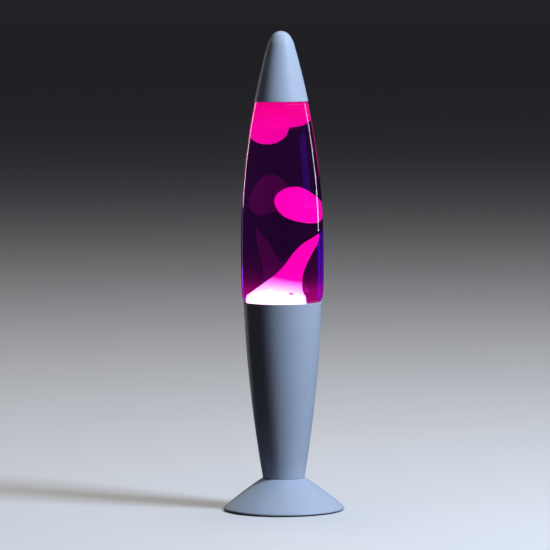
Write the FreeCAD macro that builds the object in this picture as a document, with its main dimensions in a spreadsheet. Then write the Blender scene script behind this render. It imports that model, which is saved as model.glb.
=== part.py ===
import FreeCAD, Part
import math
import os
import re
import Sketcher

# A small rocket-shaped lava lamp: a painted foot and sleeve carry a sealed glass bottle of
# liquid and wax, a painted cone covers the bottle's crown cap, and a reflector bulb in the
# sleeve warms the bottle from below.  Millimetres, +Z up, origin on the table under the axis.

doc = FreeCAD.newDocument("lava_lamp")

SIZES = {
    # whole lamp
    "lamp_height": 348.0,
    # closing plate and its soft pad
    "pad_radius": 41.4, "pad_thick": 1.25, "plate_radius": 42.3, "plate_top_radius": 40.7,
    "plate_thick": 1.5,
    # spun foot
    "foot_radius": 43.85, "foot_lip": 0.8, "foot_edge": 1.96, "foot_top": 23.4,
    "foot_top_radius": 15.5, "foot_flank_arc": 272.0, "foot_wall": 1.2,
    "foot_edge_round": 1.7, "foot_lip_round": 0.35, "foot_top_round": 0.8,
    # cord gland in the back of the foot
    "gland_height": 8.0, "gland_radius": 4.4, "gland_bore": 2.7, "gland_face": 43.0,
    "gland_back": 25.6, "gland_flange": 5.0, "gland_flange_thick": 1.8,
    # threaded tube, nut and washers that hold foot, sleeve and lampholder together
    "tube_radius": 5.0, "tube_bore": 3.7, "tube_bottom": 16.5, "tube_length": 15.0,
    "tube_hole": 5.2, "nut_flats": 14.0, "nut_thick": 3.0,
    "washer_radius": 9.5, "washer_thick": 0.6, "lock_radius": 8.6, "lock_teeth": 12.0,
    # tapered sleeve
    "sleeve_low_radius": 15.1, "sleeve_rim_radius": 28.4, "sleeve_length": 128.4,
    "sleeve_arc": 1000.0, "sleeve_wall": 1.0, "sleeve_low_round": 1.2,
    # lampholder
    "holder_radius": 12.0, "holder_wall": 1.4, "holder_neck": 8.5, "dome_height": 17.0,
    "dome_neck_top": 4.5, "dome_shoulder": 8.5, "dome_floor": 6.5, "dome_floor_edge": 9.5,
    "core_thick": 4.5, "skirt_length": 29.0, "skirt_bore": 9.0,
    "screw_head": 2.8, "screw_head_thick": 1.8, "screw_shank": 1.5, "screw_reach": 3.2,
    "screw_spread": 6.6, "tongue_half": 5.0, "tongue_width": 4.0, "tongue_thick": 0.5,
    # reflector bulb
    "bulb_seat": 49.0, "thread_crest": 6.93, "thread_root": 6.4, "thread_pitch": 2.82,
    "thread_rings": 5.0, "thread_start": 4.4, "thread_gap": 0.35, "sheet": 0.3,
    "bulb_length": 67.0, "bulb_radius": 19.5, "bulb_neck": 6.0,
    "bulb_edge_arc": 6.5, "bulb_glass": 0.7, "bulb_face_arc": 24.0,
    "filament_radius": 5.0, "filament_height": 44.0, "filament_thick": 0.45,
    "lead_radius": 0.35, "lead_spacing": 0.7, "lead_gap": 0.3,
    "contact_radius": 2.2, "contact_edge": 0.96, "contact_thick": 1.6, "contact_arc": 3.0,
    "stem_tip": 2.6, "stem_foot": 1.0, "stem_top_arc": 2.0,
    # glass bottle
    "bottle_bottom": 126.0, "bottle_radius": 29.9, "bottle_wall": 2.2, "bottle_floor": 4.4,
    "punt_radius": 16.0, "punt_rise": 2.0, "plug_low_radius": 24.0, "plug_radius": 26.4,
    "plug_round": 5.0, "seat_arc": 11.5, "seat_level": 32.0, "lower_arc": 200.0,
    "barrel_low": 44.0, "barrel_high": 67.5, "taper_arc": 500.0, "taper_top": 169.8,
    "corner_arc": 1.9, "slope_angle": 25.0, "throat_radius": 12.6, "mouth_bore": 8.5,
    "finish_radius": 13.3, "finish_low": 178.0, "finish_top": 184.0, "liquid_top": 174.3,
    "inner_slope": 172.4,
    # wax, local to the bottle's bottom
    "pool_level": 28.5, "column_reach": 4.0, "column_level": 40.5, "column_width": 13.0,
    "column_half": 38.0, "column_lean": 30.0,
    "blob_reach": 10.5, "blob_level": 95.9, "blob_width": 15.8, "blob_depth": 14.0,
    "blob_half": 13.0, "blob_tilt": 14.0, "blob_gap": 0.3,
    "roof_level": 156.0, "lobe_reach": -7.0, "lobe_level": 160.0, "lobe_width": 14.0,
    "lobe_half": 20.5,
    # steel spring ring in the bottom of the bottle
    "coil_ring": 16.5, "coil_radius": 2.3,
    # crown cap on the bottle
    "crown_top_radius": 12.6, "crown_skirt": 14.6, "crown_height": 6.3, "crown_sheet": 0.5,
    "crown_teeth": 21.0, "flute_radius": 1.3, "liner_thick": 0.5,
    # cone that covers the crown cap
    "cap_rim_radius": 19.5, "cap_height": 50.9, "cap_wall": 0.7, "cap_flank_arc": 600.0,
    "tip_arc": 8.0, "tip_angle": 55.0, "cheek_arc": 22.0, "cheek_angle": 13.4,
}

sheet = doc.addObject("Spreadsheet::Sheet", "Sizes")
for row, (alias, value) in enumerate(SIZES.items(), start=1):
    sheet.set(f"A{row}", alias)
    sheet.set(f"B{row}", str(value))
    sheet.setAlias(f"B{row}", alias)
doc.recompute()


def formula(text):
    """Turn a formula in size names into one that reads those sizes from the sheet."""
    return re.sub(r"[a-z_]+", lambda word: f"Sizes.{word[0]}" if word[0] in SIZES else word[0], text)


def number(text):
    """Work out a formula in size names."""
    return float(sheet.evalExpression(formula(text)))


def drive(thing, settings):
    """Bind properties of a document object to formulas in size names."""
    for name, text in settings.items():
        thing.setExpression(name, formula(text))


def new_body(name, height="0"):
    """Start a sub-part whose own zero level stands at the given height."""
    body = doc.addObject("PartDesign::Body", name)
    body.Label = name
    drive(body, {"Placement.Base.z": height})
    return body


def origin_feature(body, role):
    """Find one of a body's own origin planes or axes."""
    for feature in body.Origin.OriginFeatures:
        if feature.Role == role:
            return feature
    raise ValueError(role)


def segment(start, end, bend):
    """A line, or an arc that turns left (positive radius) or right (negative) on its way."""
    if bend is None:
        return Part.LineSegment(start, end), 1, 2
    radius = abs(number(bend))
    left = number(bend) > 0
    chord = end - start
    reach = math.sqrt(max(radius ** 2 - (chord.Length / 2) ** 2, 0))
    side = FreeCAD.Vector(-chord.y, chord.x, 0).normalize()
    centre = (start + end) / 2 + side * (reach if left else -reach)
    first, last = (start, end) if left else (end, start)
    angles = [math.atan2(point.y - centre.y, point.x - centre.x) for point in (first, last)]
    if angles[1] < angles[0]:
        angles[1] += 2 * math.pi
    circle = Part.Circle(centre, FreeCAD.Vector(0, 0, 1), radius)
    arc = Part.ArcOfCircle(circle, angles[0], angles[1])
    return (arc, 1, 2) if left else (arc, 2, 1)


def pin(sketch, index, place, text, axis):
    """Hold one point of a sketch at a driven distance along one axis."""
    if abs(number(text)) < 1e-9:
        sketch.addConstraint(Sketcher.Constraint("PointOnObject", index, place, -2 if axis == "X" else -1))
        return
    rule = Sketcher.Constraint(f"Distance{axis}", -1, 1, index, place, number(text))
    position = sketch.addConstraint(rule)
    sketch.setExpression(f"Constraints[{position}]", formula(text))


def outline(body, name, corners, role="XZ_Plane"):
    """Draw a closed outline; a corner's third entry bends the stretch that leaves it."""
    sketch = body.newObject("Sketcher::SketchObject", name)
    sketch.AttachmentSupport = (origin_feature(body, role), [""])
    sketch.MapMode = "FlatFace"
    points = [FreeCAD.Vector(number(corner[0]), number(corner[1]), 0) for corner in corners]
    ends = []
    for index, corner in enumerate(corners):
        bend = corner[2] if len(corner) > 2 else None
        shape, first, last = segment(points[index], points[(index + 1) % len(points)], bend)
        sketch.addGeometry(shape)
        ends.append((first, last))
    for index, corner in enumerate(corners):
        following = (index + 1) % len(corners)
        joined = Sketcher.Constraint("Coincident", index, ends[index][1], following, ends[following][0])
        sketch.addConstraint(joined)
        if len(corner) > 2:
            rule = Sketcher.Constraint("Radius", index, abs(number(corner[2])))
            position = sketch.addConstraint(rule)
            sketch.setExpression(f"Constraints[{position}]", f"abs({formula(corner[2])})")
    for index, corner in enumerate(corners):
        pin(sketch, index, ends[index][0], corner[0], "X")
        pin(sketch, index, ends[index][0], corner[1], "Y")
    return sketch


def turn(body, name, corners, kind="Revolution"):
    """Turn an outline about the body's own upright axis, as material or as a groove."""
    profile = outline(body, f"{name}_outline", corners)
    feature = body.newObject(f"PartDesign::{kind}", name)
    feature.Profile = profile
    feature.ReferenceAxis = (profile, ["V_Axis"])
    feature.Angle = 360
    return feature


def turned_body(name, corners, height="0"):
    """A sub-part that is one turned outline."""
    body = new_body(name, height)
    turn(body, f"{name}_turned", corners)
    return body


def ring_edges(body):
    """Names and circles of a body's round edges."""
    doc.recompute()
    found = {}
    for index, edge in enumerate(body.Tip.Shape.Edges, start=1):
        if not edge.Degenerated and isinstance(edge.Curve, Part.Circle):
            found[f"Edge{index}"] = edge.Curve
    return found


def rings(body, places):
    """Name the round edges of a body that pass through the given radius and level."""
    found = []
    for name, circle in ring_edges(body).items():
        for radius, level in places:
            off_radius = abs(circle.Radius - number(radius))
            off_level = abs(circle.Center.z - number(level))
            if off_radius + off_level < 0.02:
                found.append(name)
    return found


def round_rim(body, name, radius, level):
    """Round every ring edge at one level, inside and out."""
    names = []
    for ring, circle in ring_edges(body).items():
        if abs(circle.Center.z - number(level)) < 0.01:
            names.append(ring)
    fillet(body, name, radius, names)


def round_rings(body, name, radius, places):
    """Round the ring edges that pass through the given radius and level."""
    fillet(body, name, radius, rings(body, places))


def fillet(body, name, radius, names):
    """Round the named edges of a body."""
    base = body.Tip
    feature = body.newObject("PartDesign::Fillet", name)
    feature.Base = (base, names)
    drive(feature, {"Radius": radius})


def hollow(body, name, wall, level):
    """Leave a wall of even thickness, open through the flat face at one level."""
    doc.recompute()
    base = body.Tip
    open_face = None
    for index, face in enumerate(base.Shape.Faces, start=1):
        flat = isinstance(face.Surface, Part.Plane)
        if flat and abs(face.CenterOfMass.z - number(level)) < 0.01:
            open_face = f"Face{index}"
    feature = body.newObject("PartDesign::Thickness", name)
    feature.Base = (base, [open_face])
    feature.Reversed = True
    drive(feature, {"Value": wall})


def drill(body, name, radius, length, spot=("0", "0", "0"), tip_over=0):
    """Take a round hole out of a body; it runs up, or back along +Y when tipped over."""
    feature = body.newObject("PartDesign::SubtractiveCylinder", name)
    drive(feature, {"Radius": radius, "Height": length})
    feature.Placement = FreeCAD.Placement(
        FreeCAD.Vector(), FreeCAD.Rotation(FreeCAD.Vector(1, 0, 0), -tip_over))
    drive(feature, {"Placement.Base.x": spot[0], "Placement.Base.y": spot[1],
                    "Placement.Base.z": spot[2]})
    return feature


def base_pad():
    """Soft pad the lamp stands on."""
    return turned_body("base_pad", [
        ("0", "0"), ("pad_radius", "0"), ("pad_radius", "pad_thick"), ("0", "pad_thick")])


def base_plate():
    """Steel disc with a bevelled edge that closes and weights the foot."""
    return turned_body("base_plate", [
        ("0", "0"), ("plate_radius", "0"), ("plate_top_radius", "plate_thick"), ("0", "plate_thick")],
        "pad_thick")


def foot():
    """Spun cone with a rolled lower edge, a flat top and a hole for the cord gland."""
    body = new_body("foot", "foot_lip")
    edge = "foot_edge - foot_lip"
    top = "foot_top - foot_lip"
    turn(body, "foot_solid", [
        ("0", "0"), ("foot_radius", "0"), ("foot_radius", edge, "foot_flank_arc"),
        ("foot_top_radius", top), ("0", top)])
    round_rings(body, "foot_edge_rounding", "foot_edge_round", [("foot_radius", edge)])
    round_rings(body, "foot_top_rounding", "foot_top_round", [("foot_top_radius", top)])
    hollow(body, "foot_shell", "foot_wall", "0")
    round_rings(body, "foot_lip_rounding", "foot_lip_round", [("foot_radius", "0")])
    drill(body, "foot_tube_hole", "tube_hole", "3 * foot_wall", ("0", "0", f"{top} - 2 * foot_wall"))
    drill(body, "foot_gland_hole", "gland_radius + 0.1", "foot_radius",
          ("0", "gland_back", "gland_height - foot_lip"), 90)
    return body


def cord_gland():
    """Bush for the mains cord, with a flange that bears on the inside of the foot."""
    body = turned_body("cord_gland", [
        ("gland_bore", "0"), ("gland_flange", "0"), ("gland_flange", "gland_flange_thick"),
        ("gland_radius", "gland_flange_thick"), ("gland_radius", "gland_face - gland_back - 0.8", "0.8"),
        ("gland_radius - 0.8", "gland_face - gland_back"), ("gland_bore", "gland_face - gland_back")])
    body.Placement = FreeCAD.Placement(
        FreeCAD.Vector(), FreeCAD.Rotation(FreeCAD.Vector(1, 0, 0), -90))
    drive(body, {"Placement.Base.y": "gland_back", "Placement.Base.z": "gland_height"})
    return body


def threaded_tube():
    """Hollow tube that the cord runs through and that clamps the stack."""
    return turned_body("threaded_tube", [
        ("tube_bore", "0"), ("tube_radius", "0"), ("tube_radius", "tube_length"),
        ("tube_bore", "tube_length")], "tube_bottom")


def flat_washer():
    """Washer under the top of the foot."""
    return turned_body("flat_washer", [
        ("tube_hole", "0"), ("washer_radius", "0"), ("washer_radius", "washer_thick"),
        ("tube_hole", "washer_thick")], "foot_top - foot_wall - washer_thick")


def hex_nut():
    """Nut that closes the stack from below."""
    body = new_body("hex_nut", "foot_top - foot_wall - washer_thick - nut_thick")
    corners = [(f"nut_flats / sqrt(3) * cos({60 * step} + 0.001)",
                f"nut_flats / sqrt(3) * sin({60 * step} + 0.001)") for step in range(6)]
    profile = outline(body, "hex_nut_outline", corners, "XY_Plane")
    pad = body.newObject("PartDesign::Pad", "hex_nut_pad")
    pad.Profile = profile
    drive(pad, {"Length": "nut_thick"})
    drill(body, "hex_nut_hole", "tube_radius + 0.05", "nut_thick")
    return body


def sleeve():
    """Tapered sleeve with a rounded rim that the bottle's shoulder rests on."""
    body = new_body("sleeve", "foot_top")
    turn(body, "sleeve_solid", [
        ("0", "0"), ("sleeve_low_radius", "0", "sleeve_arc"),
        ("sleeve_rim_radius", "sleeve_length"), ("0", "sleeve_length")])
    round_rings(body, "sleeve_low_rounding", "sleeve_low_round", [("sleeve_low_radius", "0")])
    hollow(body, "sleeve_shell", "sleeve_wall", "sleeve_length")
    round_rim(body, "sleeve_rim_rounding", "0.48 * sleeve_wall", "sleeve_length")
    drill(body, "sleeve_tube_hole", "tube_hole", "2 * sleeve_wall")
    return body


def lock_washer():
    """Toothed washer between the sleeve and the lampholder."""
    body = turned_body("lock_washer", [
        ("tube_hole", "0"), ("lock_radius", "0"), ("lock_radius", "washer_thick"),
        ("tube_hole", "washer_thick")], "foot_top + sleeve_wall")
    notch = drill(body, "lock_notch", "0.7", "washer_thick", ("lock_radius", "0", "0"))
    ring_of(body, "lock_notches", notch, "lock_teeth")
    return body


def ring_of(body, name, feature, count):
    """Repeat a feature evenly around the body's upright axis."""
    pattern = body.newObject("PartDesign::PolarPattern", name)
    pattern.Originals = [feature]
    pattern.Axis = (origin_feature(body, "Z_Axis"), [""])
    pattern.Angle = 360
    body.Tip = pattern
    drive(pattern, {"Occurrences": count})


HOLDER = "foot_top + sleeve_wall + washer_thick"


def holder_dome():
    """Lower half of the lampholder, screwed onto the threaded tube."""
    inner = "holder_radius - holder_wall - 0.8"
    entry = "tube_radius + 0.05"
    return turned_body("holder_dome", [
        (entry, "0"), ("holder_neck", "0"), ("holder_neck", "dome_neck_top"),
        ("holder_radius", "dome_shoulder"), ("holder_radius", "dome_height"), (inner, "dome_height"),
        (inner, "dome_floor_edge"), ("holder_neck - 1", "dome_floor"), (entry, "dome_floor")], HOLDER)


def holder_core():
    """Insulating block that carries the contacts."""
    body = turned_body("holder_core", [
        ("0", "0"), ("holder_radius - holder_wall - 0.1", "0"),
        ("holder_radius - holder_wall - 0.1", "core_thick - 1"), ("skirt_bore - 0.1", "core_thick"),
        ("0", "core_thick")], f"{HOLDER} + dome_height")
    for side in ("screw_spread", "-screw_spread"):
        name = "core_hole_right" if side == "screw_spread" else "core_hole_left"
        drill(body, name, "screw_shank + 0.05", "core_thick", (side, "0", "0"))
    return body


def holder_skirt():
    """Upper half of the lampholder: the tube around the screw shell."""
    inner = "holder_radius - holder_wall"
    return turned_body("holder_skirt", [
        ("holder_radius", "0"), ("holder_radius", "skirt_length - 1", "1"),
        ("holder_radius - 1", "skirt_length"), ("skirt_bore", "skirt_length"),
        ("skirt_bore", "core_thick + 1"), (inner, "core_thick - 1"), (inner, "0")],
        f"{HOLDER} + dome_height")


def thread_outline(grow, below, above):
    """Side of a rolled thread of rings, with a plain stretch below and above."""
    root = f"thread_root + {grow}"
    swell = f"(thread_pitch ^ 2 / 4 + (thread_crest - thread_root) ^ 2) / (2 * (thread_crest - thread_root))"
    side = [(root, f"thread_start - ({below})")] if below != "0" else []
    for ring in range(round(number("thread_rings"))):
        side.append((root, f"thread_start + {ring} * thread_pitch", swell))
    side.append((root, "thread_start + thread_rings * thread_pitch"))
    side.append((root, f"thread_start + thread_rings * thread_pitch + {above}"))
    return side


def thread_sheet(grow, below, above):
    """Closed outline of a thin thread-rolled sheet tube."""
    outer = thread_outline(grow, below, above)
    inner = []
    skin = thread_outline(f"{grow} - sheet", below, above)
    for index in range(len(skin) - 1, -1, -1):
        bend = skin[index - 1][2:] if index > 0 else ()
        inner.append(skin[index][:2] + tuple(f"-({text})" for text in bend))
    return outer + inner


def screw_shell():
    """Brass shell of the lampholder, rolled to match the bulb's cap."""
    below = f"bulb_seat + thread_start - ({HOLDER} + dome_height + core_thick)"
    return turned_body("screw_shell", thread_sheet("thread_gap + sheet", below, "1.5"), "bulb_seat")


def centre_contact():
    """Springy brass tongue under the bulb's centre contact."""
    body = new_body("centre_contact", f"{HOLDER} + dome_height + core_thick")
    gap = f"bulb_seat - ({HOLDER} + dome_height + core_thick) - 0.3"
    profile = outline(body, "tongue_outline", [
        ("-tongue_half", "0"), ("tongue_half", "0"), ("tongue_half", "tongue_thick"),
        ("2 - tongue_half", "tongue_thick"), ("tongue_half / 2", f"{gap} - tongue_thick"),
        ("tongue_half / 2 + tongue_thick", gap), ("tongue_half / 2 - tongue_thick", gap),
        ("-tongue_half", "tongue_thick")])
    pad = body.newObject("PartDesign::Pad", "tongue_pad")
    pad.Profile = profile
    pad.Midplane = True
    drive(pad, {"Length": "tongue_width"})
    return body


def terminal_screws():
    """Two screws that clamp the lead ends under the core."""
    top = "screw_head_thick + screw_reach"
    body = turned_body("terminal_screw", [
        ("0", "0"), ("screw_head", "0"), ("screw_head", "screw_head_thick"),
        ("screw_shank", "screw_head_thick"), ("screw_shank", top), ("0", top)],
        f"{HOLDER} + dome_height - screw_head_thick")
    drive(body, {"Placement.Base.x": "screw_spread"})
    twin = doc.addObject("Part::Mirroring", "terminal_screw_twin")
    twin.Source = body
    twin.Normal = FreeCAD.Vector(1, 0, 0)
    pair = doc.addObject("Part::Compound", "terminal_screws")
    pair.Links = [body, twin]
    return pair


def bulb_contact():
    """Solder button on the bottom of the bulb."""
    return turned_body("bulb_contact", [
        ("0", "0", "contact_arc"), ("contact_radius", "contact_edge"),
        ("contact_radius", "contact_thick"), ("0", "contact_thick")], "bulb_seat")


def bulb_insulator():
    """Black glass between the contact and the cap."""
    bore = "contact_radius + 0.05"
    edge = "thread_root - sheet - 0.05"
    floor = "contact_thick + 0.05"
    top = "thread_start + 0.8"
    return turned_body("bulb_insulator", [
        (bore, "1"), (f"{bore} + 0.35", "1"), (f"{edge} - 0.55", "thread_start - 0.6"),
        (edge, "thread_start"), (edge, top), ("0", top), ("0", floor), (bore, floor)], "bulb_seat")


def bulb_cap():
    """Thread-rolled metal cap of the bulb."""
    return turned_body("bulb_cap", thread_sheet("0", "0", "2.4"), "bulb_seat")


def bulb_side(skin):
    """Side of the bulb's glass from its neck to the middle of its face."""
    neck_top = "thread_start + thread_rings * thread_pitch + 4"
    face_centre = "bulb_length - bulb_face_arc"
    edge_arc = "bulb_edge_arc"
    edge_angle = f"acos((bulb_radius - {edge_arc}) / (bulb_face_arc - {edge_arc}))"
    edge_level = f"{face_centre} + (bulb_face_arc - {edge_arc}) * sin({edge_angle})"
    return [
        (f"bulb_neck - {skin}", f"{neck_top} - 7"),
        (f"bulb_neck - {skin}", neck_top, f"-(32 + {skin})"),
        (f"bulb_radius - {edge_arc} + ({edge_arc} - {skin}) * cos(-48)",
         f"{edge_level} + ({edge_arc} - {skin}) * sin(-48)", f"{edge_arc} - {skin}"),
        (f"(bulb_face_arc - {skin}) * cos({edge_angle})",
         f"{face_centre} + (bulb_face_arc - {skin}) * sin({edge_angle})", f"bulb_face_arc - {skin}"),
        ("0", f"bulb_length - {skin}")]


def bulb_envelope():
    """Blown glass of the reflector bulb."""
    body = new_body("bulb_envelope", "bulb_seat")
    outer = bulb_side("0")
    turn(body, "bulb_glass_solid", outer + [("0", outer[0][1])])
    inner = bulb_side("bulb_glass")
    turn(body, "bulb_glass_hollow", inner + [("0", inner[0][1])], "Groove")
    return body


def bulb_stem():
    """Glass stem that holds the lead wires."""
    start = "thread_start + thread_rings * thread_pitch - 2.6"
    flare = "bulb_neck - bulb_glass - 0.1"
    top = "bulb_length / 2"
    return turned_body("bulb_stem", [
        ("0", start), (flare, start), (flare, f"{start} + stem_foot"),
        ("stem_tip", f"{start} + 4 * stem_foot"), ("stem_top_arc", f"{top} - stem_top_arc", "stem_top_arc"),
        ("0", top)], "bulb_seat")


def bulb_leads():
    """Two lead wires that spread from the stem to the ends of the filament."""
    reach = "(filament_radius - lead_spacing)"
    rise = "(filament_height - bulb_length / 2 - lead_gap)"
    spread = number(f"atan({reach} / {rise})")
    wires = []
    for side, name in ((1, "lead_right"), (-1, "lead_left")):
        wire = doc.addObject("Part::Cylinder", name)
        wire.Placement.Rotation = FreeCAD.Rotation(FreeCAD.Vector(0, 1, 0), side * spread)
        drive(wire, {"Radius": "lead_radius", "Height": f"sqrt({reach} ^ 2 + {rise} ^ 2) - lead_gap",
                     "Placement.Base.x": f"{side} * lead_spacing",
                     "Placement.Base.z": "bulb_seat + bulb_length / 2 + lead_gap"})
        wires.append(wire)
    pair = doc.addObject("Part::Compound", "bulb_leads")
    pair.Links = wires
    return pair


def bulb_filament():
    """Coiled filament, drawn as the bent rod it fills."""
    rod = doc.addObject("Part::Torus", "bulb_filament")
    rod.Angle3 = 180
    rod.Placement.Rotation = FreeCAD.Rotation(FreeCAD.Vector(0, 0, 1), 180)
    drive(rod, {"Radius1": "filament_radius", "Radius2": "filament_thick",
                "Placement.Base.z": "bulb_seat + filament_height + 0.5"})
    return rod


def bottle_side(skin):
    """Side of the bottle from the top of its plug to its upper corner, inset by a skin."""
    tilt = "asin((barrel_low - seat_level) / lower_arc)"
    lean = "asin((taper_top - barrel_high) / taper_arc)"
    seat_reach = f"bottle_radius - lower_arc + (lower_arc - seat_arc) * cos({tilt})"
    seat_centre = f"barrel_low - (lower_arc - seat_arc) * sin({tilt})"
    drop = f"sqrt((seat_arc - {skin}) ^ 2 - (plug_radius - {skin} - ({seat_reach})) ^ 2)"
    return [
        (f"plug_radius - {skin}", f"{seat_centre} - {drop}", f"seat_arc - {skin}"),
        (f"bottle_radius - lower_arc + (lower_arc - {skin}) * cos({tilt})",
         f"barrel_low - (lower_arc - {skin}) * sin({tilt})", f"lower_arc - {skin}"),
        (f"bottle_radius - {skin}", "barrel_low"),
        (f"bottle_radius - {skin}", "barrel_high", f"taper_arc - {skin}"),
        (f"bottle_radius - taper_arc + (taper_arc - {skin}) * cos({lean})",
         f"barrel_high + (taper_arc - {skin}) * sin({lean})")]


def cavity(top):
    """Outline of the bottle's inside, up to a level in its mouth."""
    return ([("0", "bottle_floor"), ("plug_low_radius - bottle_wall", "bottle_floor")]
            + bottle_side("bottle_wall")
            + [("mouth_bore", "inner_slope"), ("mouth_bore", top), ("0", top)])


def bottle_glass():
    """Bottle with a punt, a tapered plug, a seat, a barrel, a long taper and a crown finish."""
    body = new_body("bottle_glass", "bottle_bottom")
    side = bottle_side("0")
    lean = "asin((taper_top - barrel_high) / taper_arc)"
    corner_reach = f"({side[-1][0]} - corner_arc * cos({lean}))"
    corner_level = f"({side[-1][1]} - corner_arc * sin({lean}))"
    corner_end = f"{corner_reach} + corner_arc * sin(slope_angle)"
    corner_rise = f"{corner_level} + corner_arc * cos(slope_angle)"
    throat = f"{corner_rise} + ({corner_end} - throat_radius) * tan(slope_angle)"
    punt_arc = "(punt_radius ^ 2 + punt_rise ^ 2) / (2 * punt_rise)"
    side[-1] = side[-1] + ("corner_arc",)
    turn(body, "bottle_solid", [
        ("0", "punt_rise", f"-({punt_arc})"), ("punt_radius", "0"),
        ("plug_low_radius", "0")] + side + [
        (corner_end, corner_rise), ("throat_radius", throat),
        ("throat_radius", "finish_low - 1"), ("finish_radius", "finish_low"),
        ("finish_radius", "finish_top - 1", "1"), ("finish_radius - 1", "finish_top"),
        ("0", "finish_top")])
    round_rings(body, "plug_rounding", "plug_round", [("plug_low_radius", "0")])
    turn(body, "bottle_cavity", cavity("finish_top"), "Groove")
    return body


def cavity_block(name, top="liquid_top"):
    """Solid that fills the inside of the bottle."""
    return turned_body(name, cavity(top), "bottle_bottom")


def ellipsoid(name, middle, half, lean=0):
    """Driven ellipsoid; middle is across and up from the bottle's bottom, half its half axes."""
    egg = doc.addObject("Part::Ellipsoid", name)
    egg.Angle1 = -90
    egg.Angle2 = 90
    drive(egg, {"Radius2": half[0], "Radius3": half[1], "Radius1": half[2]})
    egg.Placement.Rotation = FreeCAD.Rotation(FreeCAD.Vector(0, 1, 0), lean)
    drive(egg, {"Placement.Base.x": middle[0], "Placement.Base.z": f"bottle_bottom + {middle[1]}"})
    return egg


def slab(name, low, high):
    """Block wider than the bottle between two levels above its bottom."""
    block = doc.addObject("Part::Box", name)
    drive(block, {"Length": "4 * bottle_radius", "Width": "4 * bottle_radius", "Height": f"{high} - ({low})",
                  "Placement.Base.x": "-2 * bottle_radius", "Placement.Base.y": "-2 * bottle_radius",
                  "Placement.Base.z": f"bottle_bottom + {low}"})
    return block


def combine(kind, name, shapes):
    """A boolean of two or more shapes."""
    whole = doc.addObject(f"Part::{kind}", name)
    if kind in ("Cut", "Common"):
        whole.Base, whole.Tool = shapes
    else:
        whole.Shapes = shapes
    return whole


def wire_coil():
    """Spring ring that spreads the heat, drawn as the ring its turns fill."""
    ring = doc.addObject("Part::Torus", "wire_coil")
    drive(ring, {"Radius1": "coil_ring", "Radius2": "coil_radius",
                 "Placement.Base.z": "bottle_bottom + bottle_floor + coil_radius + 0.1"})
    return ring


def wax_pool(coil):
    """Wax that lies in the plug and climbs in one leaning column."""
    column = ellipsoid("wax_column", ("column_reach", "column_level"),
                       ("column_width", "column_width", "column_half"), number("column_lean"))
    low = slab("pool_slab", "0", "pool_level")
    heap = combine("MultiFuse", "pool_heap", [low, column])
    held = combine("Common", "pool_in_bottle", [cavity_block("pool_cavity"), heap])
    return combine("Cut", "wax_pool", [held, coil])


def wax_blob():
    """Free blob of wax on its way up the wall."""
    return ellipsoid("wax_blob", ("blob_reach", "blob_level"),
                     ("blob_width", "blob_depth", "blob_half"), number("blob_tilt"))


def wax_top():
    """Wax gathered under the neck, with one lobe hanging down."""
    lobe = ellipsoid("wax_lobe", ("lobe_reach", "lobe_level"), ("lobe_width", "lobe_width", "lobe_half"))
    roof = slab("roof_slab", "roof_level", "finish_top")
    heap = combine("MultiFuse", "roof_heap", [roof, lobe])
    return combine("Common", "wax_top", [cavity_block("roof_cavity"), heap])


def liquid(solids):
    """Liquid that fills the rest of the bottle."""
    room = ellipsoid("blob_room", ("blob_reach", "blob_level"),
                     ("blob_width + blob_gap", "blob_depth + blob_gap", "blob_half + blob_gap"),
                     number("blob_tilt"))
    inside = combine("MultiFuse", "liquid_holes", solids + [room])
    return combine("Cut", "liquid", [cavity_block("liquid_cavity"), inside])


def crown_cap():
    """Crimped crown cap with a fluted skirt."""
    body = new_body("crown_cap", "bottle_bottom + finish_top + liner_thick")
    inside = "finish_radius + 0.25"
    turn(body, "crown_turned", [
        ("0", "0"), ("crown_top_radius + 0.2", "0"), (inside, "-1.2"),
        (inside, "-crown_height + crown_sheet"),
        ("crown_skirt", "-crown_height + crown_sheet"), ("crown_top_radius + 1.5", "-1.6", "2.4"),
        ("crown_top_radius - 0.2", "crown_sheet"), ("0", "crown_sheet")])
    flute = drill(body, "crown_flute", "flute_radius", "crown_height",
                  ("crown_skirt + flute_radius - 0.5", "0", "-crown_height"))
    ring_of(body, "crown_flutes", flute, "crown_teeth")
    return body


def crown_liner():
    """Sealing disc under the crown cap."""
    return turned_body("crown_liner", [
        ("0", "0"), ("crown_top_radius - 1.5", "0"), ("crown_top_radius - 1.5", "liner_thick"),
        ("0", "liner_thick")], "bottle_bottom + finish_top")


def cap_side(skin):
    """Side of the cone from its rim to the middle of its round tip, inset by a skin."""
    tip_centre = "cap_height - tip_arc"
    cheek_centre = f"{tip_centre} + (tip_arc - cheek_arc) * cos(tip_angle)"
    return [
        (f"cap_rim_radius - {skin} / cos(cheek_angle)", "0", f"cap_flank_arc - {skin}"),
        (f"(tip_arc - cheek_arc) * sin(tip_angle) + (cheek_arc - {skin}) * cos(cheek_angle)",
         f"{cheek_centre} + (cheek_arc - {skin}) * sin(cheek_angle)", f"cheek_arc - {skin}"),
        (f"(tip_arc - {skin}) * sin(tip_angle)",
         f"{tip_centre} + (tip_arc - {skin}) * cos(tip_angle)", f"tip_arc - {skin}"),
        ("0", f"cap_height - {skin}")]


def cap_cone():
    """Spun cone with a round tip that covers the crown cap."""
    body = new_body("cap_cone", "lamp_height - cap_height")
    turn(body, "cap_solid", cap_side("0") + [("0", "0")])
    turn(body, "cap_hollow", cap_side("cap_wall") + [("0", "0")], "Groove")
    round_rim(body, "cap_rim_rounding", "0.45 * cap_wall", "0")
    return body


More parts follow.
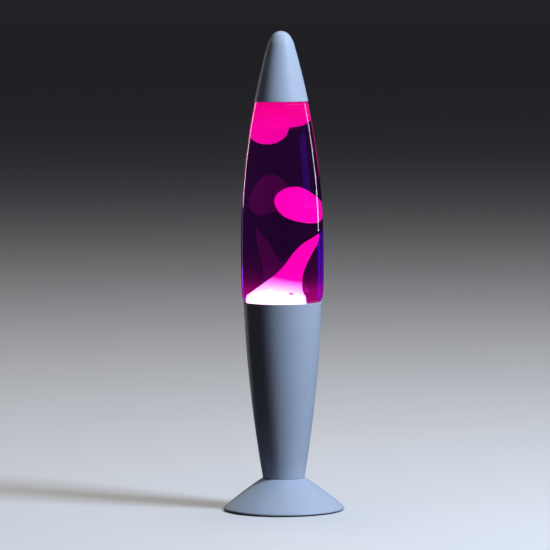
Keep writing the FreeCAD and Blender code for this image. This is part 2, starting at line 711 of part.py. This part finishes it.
def build():
    """Make every sub-part and return them by name."""
    coil = wire_coil()
    pool = wax_pool(coil)
    roof = wax_top()
    made = [base_pad(), base_plate(), foot(), cord_gland(), threaded_tube(), flat_washer(), hex_nut(),
            sleeve(), lock_washer(), holder_dome(), holder_core(), holder_skirt(), screw_shell(),
            centre_contact(), terminal_screws(), bulb_contact(), bulb_insulator(), bulb_cap(),
            bulb_envelope(), bulb_stem(), bulb_leads(), bulb_filament(), bottle_glass(), coil, pool,
            wax_blob(), roof, liquid([coil, pool, roof]), crown_cap(), crown_liner(), cap_cone()]
    return {part.Label: part for part in made}


def check_document():
    """Stop on any object that did not build."""
    for thing in doc.Objects:
        if "Invalid" in thing.State or "Error" in thing.State:
            raise RuntimeError(f"{thing.Label} did not build: {thing.State}")


def export(parts):
    """Write each sub-part to its own STEP file."""
    os.makedirs("parts", exist_ok=True)
    for name, part in parts.items():
        shape = part.Shape
        if shape.isNull() or not shape.isValid():
            raise RuntimeError(f"{name} has no valid shape")
        shape.exportStep(f"parts/{name}.step")
        box = shape.BoundBox
        print(f"{name}: volume {shape.Volume:.1f}, solids {len(shape.Solids)}, "
              f"z {box.ZMin:.2f} to {box.ZMax:.2f}, x {box.XMin:.2f} to {box.XMax:.2f}")


sub_parts = build()
doc.recompute()
check_document()
export(sub_parts)
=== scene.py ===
import math

import bpy
import numpy as np
from mathutils import Matrix, Vector


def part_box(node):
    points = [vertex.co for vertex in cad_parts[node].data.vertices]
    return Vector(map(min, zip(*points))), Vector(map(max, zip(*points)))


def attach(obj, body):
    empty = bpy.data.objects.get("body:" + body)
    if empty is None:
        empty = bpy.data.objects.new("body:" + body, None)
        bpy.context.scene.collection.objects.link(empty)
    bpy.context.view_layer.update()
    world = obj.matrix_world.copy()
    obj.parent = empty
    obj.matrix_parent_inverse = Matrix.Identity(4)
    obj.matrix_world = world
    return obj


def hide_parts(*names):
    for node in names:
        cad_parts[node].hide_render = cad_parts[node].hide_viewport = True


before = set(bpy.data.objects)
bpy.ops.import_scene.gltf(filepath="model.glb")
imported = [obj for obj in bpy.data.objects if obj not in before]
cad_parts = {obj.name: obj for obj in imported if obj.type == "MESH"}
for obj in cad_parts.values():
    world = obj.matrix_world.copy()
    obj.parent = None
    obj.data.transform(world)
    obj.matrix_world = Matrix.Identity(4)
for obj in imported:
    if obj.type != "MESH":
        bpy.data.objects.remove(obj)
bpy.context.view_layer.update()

MM = 0.001
WHITE = (1.0, 1.0, 1.0)
BACKDROP = (0.016, 0.016, 0.02, 1.0)
EVEN = (1.0, 1.0, 1.0)

# Soft noise seldom leaves this part of its range, so colours and values wander across it.
NOISE_LOW, NOISE_HIGH = 0.3, 0.7

# Heights of the bottom and the top of the bottle's filling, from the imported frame.
CAVITY_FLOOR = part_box("wax_pool")[0].z
LIQUID_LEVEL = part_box("wax_top")[1].z

# How far meshes inside the bottle stay from its wall, or reach into the thickness of the glass.
WAX_GAP = 0.35 * MM
LIQUID_OVERLAP = 0.3 * MM
NECK_OVERLAP = 1.2 * MM


# ---------------------------------------------------------------- materials

def principled(name, colour, **constants):
    """Principled material with constant values set on the shader's own sockets."""
    made = bpy.data.materials.new(name)
    made.use_nodes = True
    shader = made.node_tree.nodes["Principled BSDF"]
    shader.inputs["Base Color"].default_value = (*colour, 1.0)
    for socket, value in constants.items():
        shader.inputs[socket.replace("_", " ")].default_value = value
    return made


def shader_of(material):
    return material.node_tree.nodes["Principled BSDF"]


def add(material, kind, **settings):
    """New node of this kind, with its own settings."""
    node = material.node_tree.nodes.new(kind)
    for setting, value in settings.items():
        setattr(node, setting, value)
    return node


def join(material, source, target):
    material.node_tree.links.new(source, target)


def place(material):
    """Position on the piece, in metres."""
    return add(material, "ShaderNodeTexCoord").outputs["Object"]


def grain(material, size, detail=3.0, stretch=EVEN):
    """Soft noise from 0 to 1 whose features are this many metres across, more along a stretched axis."""
    mapping = add(material, "ShaderNodeMapping")
    mapping.inputs["Scale"].default_value = [1.0 / s for s in stretch]
    join(material, place(material), mapping.inputs["Vector"])
    noise = add(material, "ShaderNodeTexNoise")
    noise.inputs["Scale"].default_value = 1.0 / size
    noise.inputs["Detail"].default_value = detail
    join(material, mapping.outputs["Vector"], noise.inputs["Vector"])
    return noise.outputs["Fac"]


def cells(material, size):
    """Distance to the nearest of random cells this many metres across."""
    voronoi = add(material, "ShaderNodeTexVoronoi")
    voronoi.inputs["Scale"].default_value = 1.0 / size
    join(material, place(material), voronoi.inputs["Vector"])
    return voronoi.outputs["Distance"]


def ramp(material, factor, stops):
    """Colours at places from 0 to 1 along a factor."""
    node = add(material, "ShaderNodeValToRGB")
    elements = node.color_ramp.elements
    while len(elements) < len(stops):
        elements.new(0.5)
    for element, (position, colour) in zip(elements, stops):
        element.position = position
        element.color = (*colour, 1.0)
    join(material, factor, node.inputs["Fac"])
    return node.outputs["Color"]


def vary_colour(material, factor, first, second):
    """Base colour that wanders between two colours."""
    colour = ramp(material, factor, [(NOISE_LOW, first), (NOISE_HIGH, second)])
    join(material, colour, shader_of(material).inputs["Base Color"])


def rescale(material, value, low, high, new_low=0.0, new_high=1.0):
    """A value's range from low to high moved to a new range, and held there."""
    node = add(material, "ShaderNodeMapRange")
    node.inputs["From Min"].default_value = low
    node.inputs["From Max"].default_value = high
    node.inputs["To Min"].default_value = new_low
    node.inputs["To Max"].default_value = new_high
    join(material, value, node.inputs["Value"])
    return node.outputs["Result"]


def vary(material, factor, socket, low, high):
    """A socket's value that wanders between two values."""
    wandering = rescale(material, factor, NOISE_LOW, NOISE_HIGH, low, high)
    join(material, wandering, shader_of(material).inputs[socket])


def relief(material, factor, depth, strength=1.0):
    """Surface relief this many metres deep."""
    node = add(material, "ShaderNodeBump")
    node.inputs["Distance"].default_value = depth
    node.inputs["Strength"].default_value = strength
    join(material, factor, node.inputs["Height"])
    join(material, node.outputs["Normal"], shader_of(material).inputs["Normal"])


def height_share(material, low, high):
    """0 at one height of the piece and 1 at another."""
    axes = add(material, "ShaderNodeSeparateXYZ")
    join(material, place(material), axes.inputs["Vector"])
    return rescale(material, axes.outputs["Z"], low, high)


def distance_share(material, centre, near, far):
    """0 at one distance from a point on the piece and 1 at another."""
    distance = add(material, "ShaderNodeVectorMath", operation="DISTANCE")
    distance.inputs[1].default_value = centre
    join(material, place(material), distance.inputs[0])
    return rescale(material, distance.outputs["Value"], near, far)


def paint():
    """Cool white powder coat: a fine orange peel, slightly cloudy."""
    made = principled("powder_coat", (0.7, 0.77, 0.89), Specular_IOR_Level=0.35)
    vary_colour(made, grain(made, 14 * MM), (0.68, 0.75, 0.875), (0.715, 0.78, 0.9))
    vary(made, grain(made, 5 * MM), "Roughness", 0.42, 0.52)
    relief(made, grain(made, 0.55 * MM, 4.0), 0.03 * MM)
    return made


def foam():
    """Black closed-cell foam with small pores."""
    made = principled("foam_pad", (0.03, 0.03, 0.032), Roughness=0.9, Sheen_Weight=0.15)
    vary_colour(made, grain(made, 2 * MM), (0.02, 0.02, 0.022), (0.045, 0.044, 0.046))
    relief(made, cells(made, 0.5 * MM), 0.1 * MM)
    return made


def metal(name, colour, tarnish, roughness, brushed=EVEN):
    """Metal with cloudy tarnish and fine scratches along the brushed direction."""
    made = principled(name, colour, Metallic=1.0)
    vary_colour(made, grain(made, 6 * MM, 5.0), tarnish, colour)
    vary(made, grain(made, 1.5 * MM, 4.0, brushed), "Roughness", *roughness)
    relief(made, grain(made, 0.25 * MM, 3.0, brushed), 0.01 * MM)
    return made


def moulded(name, colour, shade, roughness, speckle=1.2 * MM):
    """Moulded or fired non-metal with a faint mottle and surface grain."""
    made = principled(name, colour, Specular_IOR_Level=0.5)
    vary_colour(made, grain(made, speckle, 5.0), shade, colour)
    vary(made, grain(made, 3 * MM), "Roughness", *roughness)
    relief(made, grain(made, 0.3 * MM), 0.015 * MM)
    return made


def clear_glass():
    """Soda glass, very slightly wavy."""
    made = principled(
        "bottle_flint", (0.985, 0.995, 0.992), Roughness=0.0, IOR=1.5, Transmission_Weight=1.0)
    vary_colour(made, grain(made, 30 * MM, 1.0), (0.98, 0.992, 0.99), (0.995, 1.0, 0.998))
    relief(made, grain(made, 25 * MM, 1.0, (1, 1, 2)), 0.02 * MM, 0.4)
    return made


def by_height(low, high):
    """Share of height from 0 to 1, between two heights in millimetres."""
    return lambda material: height_share(material, low * MM, high * MM)


def by_distance(centre, near, far):
    """Share of distance from a point, between two distances, all in millimetres."""
    return lambda material: distance_share(material, Vector(centre) * MM, near * MM, far * MM)


def violet_liquid():
    """Dyed water: deep violet through its thickness, with a painted glow near the lit pool that fades
    upward.
    """
    made = principled(
        "violet_liquid_dyed", WHITE,
        Roughness=0.0, IOR=1.333, Transmission_Weight=1.0, Emission_Strength=1.0)
    # Painted light: the liquid glows pink near the pool, and the glow fades to almost nothing higher up.
    glow = ramp(made, height_share(made, CAVITY_FLOOR, LIQUID_LEVEL), [
        (0.1, (0.3, 0.0, 0.13)), (0.185, (0.18, 0.0, 0.07)), (0.21, (0.075, 0.0, 0.035)),
        (0.236, (0.036, 0.0, 0.022)), (0.27, (0.018, 0.0, 0.015)), (0.35, (0.007, 0.0, 0.009)),
        (1.0, (0.006, 0.0, 0.008))])
    join(made, glow, shader_of(made).inputs["Emission Color"])
    vary_colour(made, grain(made, 40 * MM, 1.0), (0.96, 0.94, 1.0), WHITE)
    absorption = add(made, "ShaderNodeVolumeAbsorption")
    absorption.inputs["Color"].default_value = (0.68, 0.0, 0.78, 1.0)
    absorption.inputs["Density"].default_value = 62.0
    output = made.node_tree.nodes["Material Output"]
    join(made, absorption.outputs["Volume"], output.inputs["Volume"])
    return made


def glowing_wax(name, strength, share, stops):
    """Molten wax lit from below: that light is painted on as a glow, which changes along a share of
    height or of distance.
    """
    made = principled(name, (0.85, 0.02, 0.35), Roughness=0.35, Emission_Strength=strength)
    join(made, ramp(made, share(made), stops), shader_of(made).inputs["Emission Color"])
    vary_colour(made, grain(made, 9 * MM), (0.8, 0.015, 0.3), (0.9, 0.03, 0.4))
    vary(made, grain(made, 6 * MM), "Roughness", 0.3, 0.42)
    relief(made, grain(made, 7 * MM, 1.0), 0.1 * MM)
    return made


def bulb_glass():
    """Reflector bulb: silvered flanks, frosted and lit face."""
    widest = 101.0 * MM
    made = principled("bulb_silver_and_frost", (0.9, 0.9, 0.88), Roughness=0.25, Emission_Strength=2.5)
    share = height_share(made, widest - 1 * MM, widest + 1 * MM)
    glow = ramp(made, share, [(0.0, (0.0, 0.0, 0.0)), (1.0, (1.0, 0.82, 0.6))])
    join(made, glow, shader_of(made).inputs["Emission Color"])
    silver = rescale(made, share, 0.0, 1.0, 1.0, 0.0)
    join(made, silver, shader_of(made).inputs["Metallic"])
    vary(made, grain(made, 4 * MM), "Roughness", 0.2, 0.34)
    relief(made, grain(made, 0.4 * MM), 0.01 * MM)
    return made


def plain_wax():
    """Wax of the CAD nodes, which finer meshes replace, with an even painted pink glow."""
    pink = (1.0, 0.0, 0.3)
    return glowing_wax("wax_glow", 1.0, by_height(0, 1), [(0.0, pink), (1.0, pink)])


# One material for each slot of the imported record.
MATERIALS = {
    "paint": paint(),
    "foam": foam(),
    "steel": metal("rolled_steel", (0.5, 0.5, 0.5), (0.42, 0.42, 0.42), (0.3, 0.45), (8, 1, 1)),
    "bush": moulded("nylon_bush", (0.75, 0.75, 0.74), (0.7, 0.7, 0.69), (0.4, 0.5)),
    "zinc": metal("zinc_plating", (0.62, 0.62, 0.6), (0.52, 0.53, 0.52), (0.3, 0.45)),
    "holder": moulded("holder_plastic", (0.85, 0.84, 0.8), (0.81, 0.8, 0.755), (0.28, 0.36)),
    "core": moulded("steatite", (0.8, 0.78, 0.72), (0.7, 0.68, 0.62), (0.5, 0.65), 0.6 * MM),
    "brass": metal("brass_sheet", (0.78, 0.6, 0.28), (0.68, 0.49, 0.2), (0.24, 0.38)),
    "solder": metal("solder_bead", (0.65, 0.65, 0.66), (0.5, 0.5, 0.52), (0.3, 0.5)),
    "black_glass": moulded("vitrite", (0.02, 0.02, 0.022), (0.01, 0.01, 0.011), (0.08, 0.14)),
    "bulb_metal": metal("nickelled_cap", (0.75, 0.74, 0.71), (0.66, 0.65, 0.62), (0.22, 0.34)),
    "bulb_glass": bulb_glass(),
    "clear_glass": clear_glass(),
    "wire": metal("drawn_wire", (0.55, 0.55, 0.55), (0.45, 0.45, 0.45), (0.25, 0.35)),
    "violet_liquid": violet_liquid(),
    "tinplate": metal("tinplate_crimped", (0.75, 0.74, 0.7), (0.68, 0.66, 0.6), (0.18, 0.3)),
    "liner": moulded("liner_plastisol", (0.8, 0.8, 0.78), (0.74, 0.74, 0.72), (0.5, 0.6)),
    "wax": plain_wax(),
}


def finish_cad_nodes():
    """Gives each CAD node that is shown the detailed material of its slot."""
    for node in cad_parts.values():
        for holder in node.material_slots:
            holder.material = MATERIALS[holder.material.name]


# ------------------------------------------------------------ mesh building

def smooth_mesh(name, points, faces, material):
    """New smooth-shaded mesh object in the scene."""
    mesh = bpy.data.meshes.new(name)
    mesh.from_pydata([tuple(p) for p in points], [], faces)
    mesh.polygons.foreach_set("use_smooth", [True] * len(mesh.polygons))
    mesh.materials.append(material)
    made = bpy.data.objects.new(name, mesh)
    bpy.context.scene.collection.objects.link(made)
    return made


def piece(name, points, faces, material, body, slot, *nodes):
    """Smooth mesh piece that rides on a body and stands for CAD nodes."""
    made = smooth_mesh(name, points, faces, material)
    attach(made, body)
    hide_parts(*nodes)
    return made


def closed_skin(rings, first, last):
    """Points and faces of a closed skin over rings of equally many points, with a point at each end."""
    count = len(rings[0])
    points = [first, *[p for ring in rings for p in ring], last]
    faces = []
    for k in range(count):
        after = (k + 1) % count
        faces.append((0, 1 + after, 1 + k))
        for low in range(1, 1 + (len(rings) - 1) * count, count):
            faces.append((low + k, low + after, low + count + after, low + count + k))
        top = 1 + (len(rings) - 1) * count
        faces.append((len(points) - 1, top + k, top + after))
    return points, faces


def oval(height, left, right, front, count):
    """Ring of points in a level plane, from left to right along X and front deep each way along Y."""
    centre, reach = (left + right) / 2, (right - left) / 2
    turns = [math.tau * k / count for k in range(count)]
    return [(centre + reach * math.cos(a), front * math.sin(a), height) for a in turns]


def smooth_rows(rows, steps):
    """Rows of numbers along the smooth curve that passes through the given rows."""
    rows = np.array(rows, float)
    padded = np.vstack([2 * rows[0] - rows[1], rows, 2 * rows[-1] - rows[-2]])
    made = []
    for before, here, there, after in zip(padded, padded[1:], padded[2:], padded[3:]):
        for t in np.arange(steps) / steps:
            square = 2 * before - 5 * here + 4 * there - after
            cube = 3 * (here - there) + after - before
            made.append(0.5 * (2 * here + (there - before) * t + square * t**2 + cube * t**3))
    return np.array([*made, rows[-1]])


def tube(path, radius, sides=10):
    """Points and faces of a closed round tube along a path of points."""
    path = [Vector(p) for p in path]
    rings = []
    side = Vector((0, 0, 1))
    for k, here in enumerate(path):
        along = (path[min(k + 1, len(path) - 1)] - path[max(k - 1, 0)]).normalized()
        across = along.cross(side).normalized()
        side = across.cross(along).normalized()
        turns = [math.tau * i / sides for i in range(sides)]
        rings.append([here + radius * (math.cos(a) * side + math.sin(a) * across) for a in turns])
    return closed_skin(rings, path[0], path[-1])


# --------------------------------------------------------- inside the bottle

def bottle_wall():
    """Heights and radii of the bottle's inner wall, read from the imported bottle."""
    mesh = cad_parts["bottle_glass"].data
    found = {}
    for face in mesh.polygons:
        outward = Vector((face.center.x, face.center.y, 0)).dot(face.normal)
        if outward < 0:
            for v in face.vertices:
                x, y, z = mesh.vertices[v].co
                if CAVITY_FLOOR <= z <= LIQUID_LEVEL:
                    found[round(z, 5)] = math.hypot(x, y)
    heights = sorted(found)
    return heights, [found[z] for z in heights]


WALL_HEIGHTS, WALL_RADII = bottle_wall()


def wall_radius(height):
    return float(np.interp(height, WALL_HEIGHTS, WALL_RADII))


def liquid():
    """Dyed liquid; its skin lies inside the thickness of the glass, so no air shows between them."""
    rings = []
    for height, radius in zip(WALL_HEIGHTS, WALL_RADII):
        reach = radius + LIQUID_OVERLAP
        rings.append(oval(height, -reach, reach, reach, 192))
    first = (0, 0, CAVITY_FLOOR - LIQUID_OVERLAP)
    last = (0, 0, LIQUID_LEVEL)
    points, faces = closed_skin(rings, first, last)
    return piece(
        "liquid_body", points, faces, MATERIALS["violet_liquid"], "bottle", "violet_liquid", "liquid")


def wax_skin(name, rows, material, body, node):
    """Wax with rounded ends, from rows of height, left, right and depth in millimetres."""
    smooth = smooth_rows(np.array(rows) * MM, 8)
    rings = [oval(*row, 72) for row in smooth[1:-1]]
    ends = [((row[1] + row[2]) / 2, 0, row[0]) for row in (smooth[0], smooth[-1])]
    points, faces = closed_skin(rings, *ends)
    return piece(name, points, faces, material, body, "wax", node)


def wax_pool():
    """Pool on the bottom of the bottle, and the column that leans up out of it to the right wall."""
    rows = [
        (130.9, -18.0, 18.0, 18.0),
        (132.5, -20.6, 20.6, 20.6),
        (141.0, -22.2, 21.8, 22.0),
        (150.0, -22.2, 16.5, 20.5),
        (155.5, -21.0, 12.9, 17.5),
        (160.0, -16.5, 11.0, 13.5),
        (165.4, -10.8, 10.7, 10.2),
        (172.0, -4.1, 11.2, 7.4),
        (179.0, 1.1, 13.2, 5.8),
        (187.0, 5.6, 16.4, 5.2),
        (194.0, 11.0, 19.9, 4.2),
        (198.4, 17.0, 21.0, 1.9),
        (200.6, 20.2, 21.1, 0.4),
        (200.9, 20.7, 20.7, 0.0),
    ]
    # Painted light: the pool glows white where the bulb shines up through it, and turns deep pink
    # farther from that point.
    painted_bulb_light = by_distance((-3, 0, 144), 0, 40)
    glow = glowing_wax("wax_pool_glow", 4.0, painted_bulb_light, [
        (0.0, WHITE), (0.48, WHITE), (0.545, (0.9, 0.52, 0.7)), (0.605, (0.7, 0.22, 0.42)),
        (0.65, (0.5, 0.08, 0.26)), (0.675, (0.42, 0.0, 0.18)), (1.0, (0.42, 0.0, 0.165))])
    return wax_skin("wax_pool_and_column", rows, glow, "bottle", "wax_pool")


def wax_bead():
    """Small drop glowing white as a painted highlight, and a thin patch on the front of the pool glowing
    darker pink as the painted shade of a dimple.
    """
    # The bead's white glow is a painted highlight; the dimple's darker pink glow is painted shade.
    for name, centre, reach, colour in (
            ("wax_bead", (-7.5, -12.0, 161.4), (1.2, 0.9, 0.9), WHITE),
            ("wax_dimple_painted_shade", (4.8, -11.9, 158.9), (1.9, 0.6, 1.0), (0.6, 0.12, 0.36))):
        glow = glowing_wax(name + "_glow", 4.0, by_height(0, 1), [(0.0, colour), (1.0, colour)])
        points, faces = ball(centre, reach)
        piece(name, points, faces, glow, "bottle", "wax", "wax_pool")


def wax_blob():
    """Free blob, wider on the right, by the right wall."""
    rows = [
        (208.7, 16.6, 16.6, 0.0),
        (209.1, 13.0, 20.2, 3.4),
        (211.2, 5.6, 23.0, 8.4),
        (214.8, 0.0, 25.2, 12.0),
        (219.6, -2.9, 25.1, 13.4),
        (224.6, -4.3, 21.8, 12.6),
        (229.2, -3.1, 17.4, 9.8),
        (232.6, 0.0, 13.4, 6.4),
        (234.6, 3.9, 9.6, 2.6),
        (235.0, 6.8, 6.8, 0.0),
    ]
    # Painted shade: the lowest part of the blob's glow is darker, along its lower edge.
    glow = glowing_wax("wax_blob_glow", 4.0, by_height(208, 236), [
        (0.0, (0.3, 0.005, 0.12)), (0.13, (0.41, 0.0, 0.165)), (1.0, (0.42, 0.0, 0.17))])
    return wax_skin("wax_blob_free", rows, glow, "blob", "wax_blob")


def ball(centre, reach):
    """Points and faces of an egg shape, from its centre and its reach along each axis in millimetres."""
    middle_x, middle_y, middle_z = centre
    reach_x, reach_y, reach_z = reach
    levels = 32
    rings = []
    for k in range(1, levels):
        lift, level = math.cos(math.pi * k / levels), math.sin(math.pi * k / levels)
        side = reach_x * level
        row = (middle_z - reach_z * lift, middle_x - side, middle_x + side, reach_y * level)
        ring = oval(*[v * MM for v in row], 48)
        rings.append([(x, y + middle_y * MM, z) for x, y, z in ring])
    ends = [Vector((middle_x, middle_y, middle_z + end * reach_z)) * MM for end in (-1, 1)]
    return closed_skin(rings, *ends)


def neck_fill(level, gap, top_gap):
    """Points and faces of the wax that fills the bottle's taper above a level.
    Its gap to the wall changes on the way up; below zero, it reaches into the thickness of the glass."""
    heights = [level, *[z for z in WALL_HEIGHTS if z > level + 1 * MM]]
    gaps = np.interp(heights, (level, heights[-1]), (gap, top_gap))
    rings = []
    for height, space in zip(heights, gaps):
        reach = wall_radius(height) - space
        rings.append(oval(height - space, -reach, reach, reach, 96))
    return closed_skin(rings, (0, 0, level), (0, 0, heights[-1] - top_gap))


def wax_top():
    """Wax under the neck: it fills the taper, and two lobes hang from it, the left one lower."""
    neck_level = 287 * MM
    shapes = [
        neck_fill(neck_level, WAX_GAP, WAX_GAP),
        ball((-8.0, 0, 277.0), (12.0, 12.0, 11.6)),
        ball((6.0, 0, 288.2), (12.6, 15.0, 10.5)),
        ball((-9.0, 0, 286.0), (12.0, 14.0, 9.0)),
    ]
    points, faces = [], []
    for shape_points, shape_faces in shapes:
        start = len(points)
        points += shape_points
        faces += [tuple(v + start for v in face) for face in shape_faces]
    # Painted shade: this wax's painted glow dims towards the top of the neck.
    glow = glowing_wax("wax_top_glow", 3.0, by_height(265, 297), [
        (0.0, (0.42, 0.0, 0.16)), (0.5, (0.38, 0.0, 0.13)),
        (0.8, (0.34, 0.0, 0.1)), (1.0, (0.28, 0.0, 0.08))])
    made = piece("wax_lobes_on_top", points, faces, glow, "bottle", "wax", "wax_top")
    melt_together(made, 0.7 * MM, 12)
    press_to_wall(made, WAX_GAP, 282 * MM, 292 * MM)
    points, faces = neck_fill(neck_level, WAX_GAP, -NECK_OVERLAP)
    piece("wax_in_neck", points, faces, glow, "bottle", "wax", "wax_top")


def melt_together(made, voxel, passes):
    """Joins overlapping shapes of a piece into one skin and softens the creases between them."""
    remesh = made.modifiers.new("melt", "REMESH")
    remesh.mode = "VOXEL"
    remesh.voxel_size = voxel
    remesh.use_smooth_shade = True
    smooth = made.modifiers.new("soften", "SMOOTH")
    smooth.factor = 0.5
    smooth.iterations = passes
    graph = bpy.context.evaluated_depsgraph_get()
    mesh = bpy.data.meshes.new_from_object(made.evaluated_get(graph))
    made.modifiers.clear()
    made.data = mesh
    made.data.polygons.foreach_set("use_smooth", [True] * len(mesh.polygons))


def press_to_wall(made, gap, low, high):
    """Keeps a wax piece a gap inside the bottle's wall, and spreads its sides to that gap
    little by little between two levels."""
    for vertex in made.data.vertices:
        x, y, z = vertex.co
        reach = math.hypot(x, y)
        limit = wall_radius(z) - gap
        wanted = min(reach, limit)
        if z > low and reach > 0.6 * limit:
            rise = min((z - low) / (high - low), 1.0)
            wanted += (limit - wanted) * rise * rise * (3 - 2 * rise)
        if wanted != reach:
            vertex.co = (x * wanted / reach, y * wanted / reach, z)


def coiled_path(box, radius, coils, steps, start, sweep):
    """Path of a wire of this radius, coiled inside a box and swept round the axis."""
    low, high = box
    turn = (high.z - low.z) / 2 - radius
    ring = high.x - turn - radius
    level = (low.z + high.z) / 2
    full = sweep == math.tau
    path = []
    for k in range(coils * steps + (0 if full else 1)):
        around, over = start + sweep * k / (coils * steps), math.tau * k / steps
        reach = ring + turn * math.cos(over)
        path.append((reach * math.cos(around), reach * math.sin(around), level + turn * math.sin(over)))
    return path


def wire_coil():
    """Ring of coiled spring wire on the bottom of the bottle."""
    radius = 0.35 * MM
    path = coiled_path(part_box("wire_coil"), radius, 64, 14, 0.0, math.tau)
    points, faces = tube(path, radius, 6)
    return piece("wire_spring_ring", points, faces, MATERIALS["wire"], "bottle", "wire", "wire_coil")


def filament():
    """Coiled tungsten filament, bowed between the tips of the lead wires."""
    radius = 0.07 * MM
    path = coiled_path(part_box("bulb_filament"), radius, 40, 12, math.pi, math.pi)
    points, faces = tube(path, radius, 6)
    return piece("filament_coil", points, faces, MATERIALS["wire"], "bulb", "wire", "bulb_filament")


# ------------------------------------------------- floor, light and camera

def floor():
    """Plain pale floor. Only the camera sees it, so that it sends no fill light up onto the lamp.
    Its faint glow makes up what the backdrop's light loses on it, so that its far edge doesn't show."""
    reach = 60.0
    corners = ((-1, -1), (1, -1), (1, 1), (-1, 1))
    points = [(reach * x, reach * y, 0.0) for x, y in corners]
    pale = principled(
        "floor_pale", (0.8, 0.8, 0.8), Roughness=0.8, Emission_Color=BACKDROP, Emission_Strength=0.2)
    vary_colour(pale, grain(pale, 0.3), (0.79, 0.79, 0.79), (0.81, 0.81, 0.81))
    made = smooth_mesh("studio_floor", points, [(0, 1, 2, 3)], pale)
    made.visible_diffuse = False
    made.visible_glossy = False
    made.visible_transmission = False
    return made


def softbox(name, azimuth, elevation, distance, size, watts, colour, only=()):
    """Area light aimed at the lamp's middle, which may light only some pieces.
    Azimuth 0 is on the camera's side and grows to the right, in degrees; lengths are in metres."""
    light = bpy.data.lights.new(name, "AREA")
    light.shape = "RECTANGLE"
    light.size, light.size_y = size
    light.energy = watts
    light.color = colour
    made = bpy.data.objects.new(name, light)
    bpy.context.scene.collection.objects.link(made)
    turn, lift = math.radians(azimuth), math.radians(elevation)
    way = Vector((math.sin(turn) * math.cos(lift), -math.cos(turn) * math.cos(lift), math.sin(lift)))
    made.location = Vector((0, 0, 0.17)) + distance * way
    made.rotation_euler = (-way).to_track_quat("-Z", "Y").to_euler()
    made.visible_camera = False
    if only:
        lit = bpy.data.collections.new(name + "_lights")
        for lit_piece in only:
            lit.objects.link(lit_piece)
        made.light_linking.receiver_collection = lit
    return made


def lights(ground):
    """Soft cool key from the upper right and a weak top light, lights for the floor and for the
    inner parts, and strips behind the lamp that draw the edges of the glass and the paint."""
    glass = [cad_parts["bottle_glass"]]
    painted = [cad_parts[name] for name in ("foot", "sleeve", "cap_cone")]
    inner = [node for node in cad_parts.values() if node not in glass + painted]
    softbox("key_softbox", 58, 40, 1.7, (0.45, 0.45), 27.5, (0.65, 0.785, 1.0))
    softbox("top_softbox", 180, 78, 1.8, (1.0, 1.0), 5.0, (1.0, 0.98, 0.95))
    softbox("floor_softbox", 180, 85, 2.6, (2.5, 2.5), 32.0, (1.0, 0.96, 0.92), [ground])
    softbox("inner_parts_softbox", -25, 25, 1.6, (1.4, 1.4), 16.0, (0.95, 0.97, 1.0), inner)
    strips = [
        softbox("left_paint_strip", -148, 3, 0.62, (0.07, 0.5), 0.33, (1.0, 0.97, 0.93), painted),
        softbox("left_high_strip", -148, 16, 0.62, (0.07, 0.28), 0.20, (1.0, 0.88, 0.95), glass),
        softbox("left_middle_strip", -148, -1, 0.62, (0.07, 0.10), 0.015, (0.65, 0.25, 0.8), glass),
        softbox("left_low_strip", -148, -14, 0.62, (0.07, 0.24), 0.20, (0.25, 0.01, 1.0), glass),
        softbox("left_pink_strip", -165, 18, 0.62, (0.16, 0.28), 0.11, (1.0, 0.02, 0.25), glass),
        softbox("right_high_strip", 122, 13, 0.8, (0.08, 0.37), 0.55, (0.85, 0.92, 1.0), glass),
        softbox("right_low_strip", 124, -10, 0.8, (0.22, 0.27), 0.62, (0.12, 0.0, 1.0), glass),
        softbox("right_back_strip", 146, -10, 0.8, (0.26, 0.27), 0.32, (0.12, 0.0, 1.0), glass),
        softbox("right_pink_strip", 160, 16, 0.8, (0.22, 0.32), 0.22, (1.0, 0.02, 0.25), glass),
        softbox("indigo_panel", 78, 13, 0.9, (0.42, 0.18), 0.38, (0.08, 0.02, 1.0), glass),
    ]
    for strip in strips:
        strip.visible_transmission = False
    world = bpy.data.worlds.new("studio")
    bpy.context.scene.world = world
    world.use_nodes = True
    backdrop = world.node_tree.nodes["Background"]
    backdrop.inputs["Color"].default_value = BACKDROP
    backdrop.inputs["Strength"].default_value = 1.0
    world.cycles_visibility.glossy = False


def camera():
    """Long lens from the front, a little above the cap, looking slightly down and tilted a touch."""
    data = bpy.data.cameras.new("camera")
    data.lens, data.sensor_width = 256.8, 36.0
    data.clip_start, data.clip_end = 0.1, 200.0
    made = bpy.data.objects.new("camera", data)
    bpy.context.scene.collection.objects.link(made)
    look_down, roll = math.radians(3.99), math.radians(-0.389)
    stand = Matrix.Translation((-0.0054, -2.84, 0.3694))
    tilt = Matrix.Rotation(math.pi / 2 - look_down, 4, "X")
    made.matrix_world = stand @ tilt @ Matrix.Rotation(roll, 4, "Z")
    bpy.context.scene.camera = made


def rendering():
    """Plain display colours, denoising, and enough bounces for glass in glass."""
    scene = bpy.context.scene
    scene.view_settings.view_transform = "Standard"
    scene.cycles.use_denoising = True
    scene.cycles.max_bounces = 24
    scene.cycles.transmission_bounces = 20
    scene.cycles.glossy_bounces = 8
    scene.cycles.diffuse_bounces = 3
    scene.cycles.caustics_reflective = False
    scene.cycles.caustics_refractive = False


camera()
finish_cad_nodes()
liquid()
wax_pool()
wax_bead()
wax_blob()
wax_top()
wire_coil()
filament()
lights(floor())
rendering()
